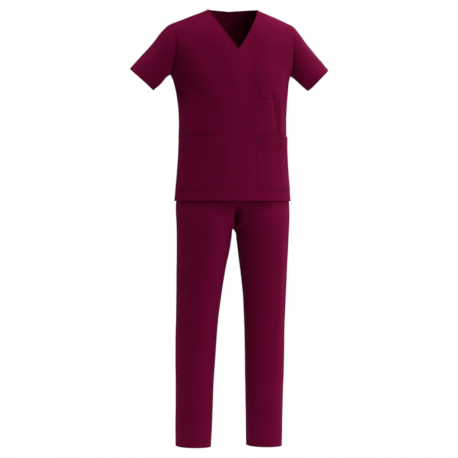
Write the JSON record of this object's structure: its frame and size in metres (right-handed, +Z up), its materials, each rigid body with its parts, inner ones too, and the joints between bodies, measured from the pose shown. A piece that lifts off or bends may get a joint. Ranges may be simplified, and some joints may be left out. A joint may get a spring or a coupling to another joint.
{
  "type": "medical scrubs set, V-neck top and trousers",
  "caption": "Short-sleeved V-neck scrub top with a chest pocket and low side pockets over straight trousers, in one plain woven cloth, filled out as worn with no wearer",
  "frame": {"origin": "between the wearer's shoulders, 25 mm below the top's high neck points, on the middle plane: where the wearer carries the top", "axes": "+Z up; the front faces -Y; the wearer's left side is +X"},
  "size_m": [0.7128, 0.245, 1.5342],
  "materials": {
    "cloth": "plain-woven polyester and cotton, wine red, matt with a faint sheen at grazing angles",
    "waistband": "the same cloth folded round flat elastic, wine red, matt"
  },
  "bodies": {
    "root": {"top_front": "cloth", "top_back": "cloth", "sleeve_left": "cloth", "sleeve_right": "cloth", "chest_pocket": "cloth", "pocket_left": "cloth", "pocket_right": "cloth", "trouser_front_left": "cloth", "trouser_front_right": "cloth", "trouser_back_left": "cloth", "trouser_back_right": "cloth", "waistband": "waistband"}
  },
  "joints": []
}
